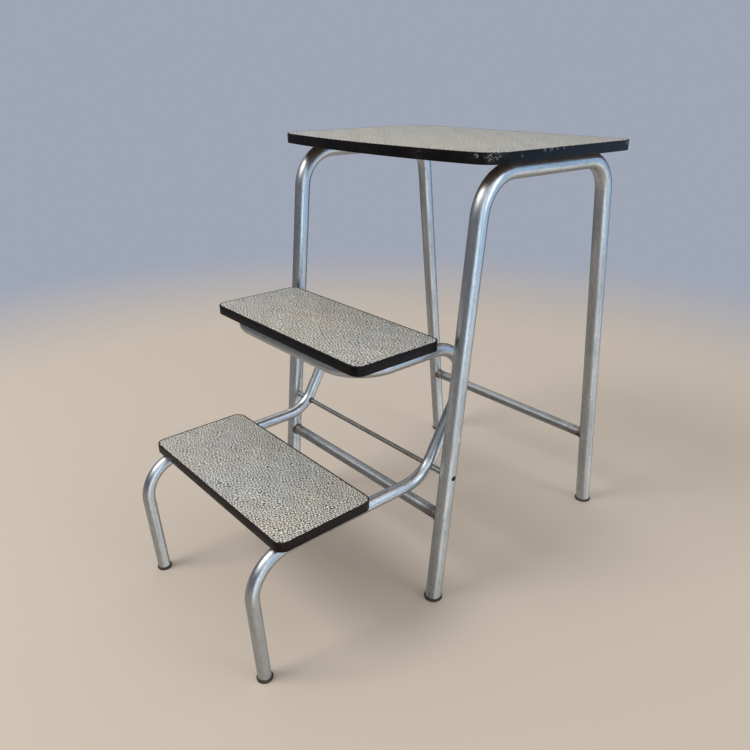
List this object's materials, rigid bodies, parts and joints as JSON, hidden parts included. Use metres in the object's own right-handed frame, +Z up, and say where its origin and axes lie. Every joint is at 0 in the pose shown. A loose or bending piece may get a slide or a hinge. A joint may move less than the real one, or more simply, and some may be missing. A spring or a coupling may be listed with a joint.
{
  "type": "folding step stool",
  "caption": "Kitchen step stool: a laminate seat on bent metal tube side frames, with steps on one bent tube that swing out on a rod and fold away under the seat.",
  "frame": {"origin": "on the floor, at the centre of the bounding box with the steps folded out", "axes": "+Z up, the steps face -Y, +X is the right-hand side seen from the front"},
  "size_m": [0.4, 0.6522, 0.593],
  "materials": {
    "frame_metal": "bright plated tube, satin with age, fine scratches and pits",
    "cross_tube_metal": "plated tube, duller than the frames",
    "rod_metal": "dull plated rod and sleeves",
    "screw_metal": "plated, a little tarnished",
    "board_laminate": "beige-grey laminate with a fine leather grain",
    "board_core": "raw plywood underside",
    "edge_band": "black band, scuffed",
    "foot_rubber": "dark brown rubber, matt"
  },
  "bodies": {
    "stool": {"side_frame_left": "frame_metal", "side_frame_right": "frame_metal", "front_cross_tube": "cross_tube_metal", "rear_cross_tube": "cross_tube_metal", "pivot_rod": "rod_metal", "pivot_sleeve_left": "rod_metal", "pivot_sleeve_right": "rod_metal", "foot_front_left": "foot_rubber", "foot_front_right": "foot_rubber", "foot_rear_left": "foot_rubber", "foot_rear_right": "foot_rubber", "seat_core": "board_core", "seat_laminate": "board_laminate", "seat_edge_band": "edge_band", "seat_screw_1": "screw_metal", "seat_screw_2": "screw_metal", "seat_screw_3": "screw_metal", "seat_screw_4": "screw_metal"},
    "steps": {"step_frame": "frame_metal", "step_foot_left": "foot_rubber", "step_foot_right": "foot_rubber", "upper_step_core": "board_core", "upper_step_laminate": "board_laminate", "upper_step_edge_band": "edge_band", "upper_step_screw_1": "screw_metal", "upper_step_screw_2": "screw_metal", "upper_step_screw_3": "screw_metal", "upper_step_screw_4": "screw_metal", "lower_step_core": "board_core", "lower_step_laminate": "board_laminate", "lower_step_edge_band": "edge_band", "lower_step_screw_1": "screw_metal", "lower_step_screw_2": "screw_metal", "lower_step_screw_3": "screw_metal", "lower_step_screw_4": "screw_metal"}
  },
  "joints": [
    {"name": "steps_fold", "type": "hinge", "parent": "stool", "child": "steps", "pos_m": [0, -0.0379, 0.1905], "axis": [-1, 0, 0], "range_deg": [0, 140]}
  ]
}
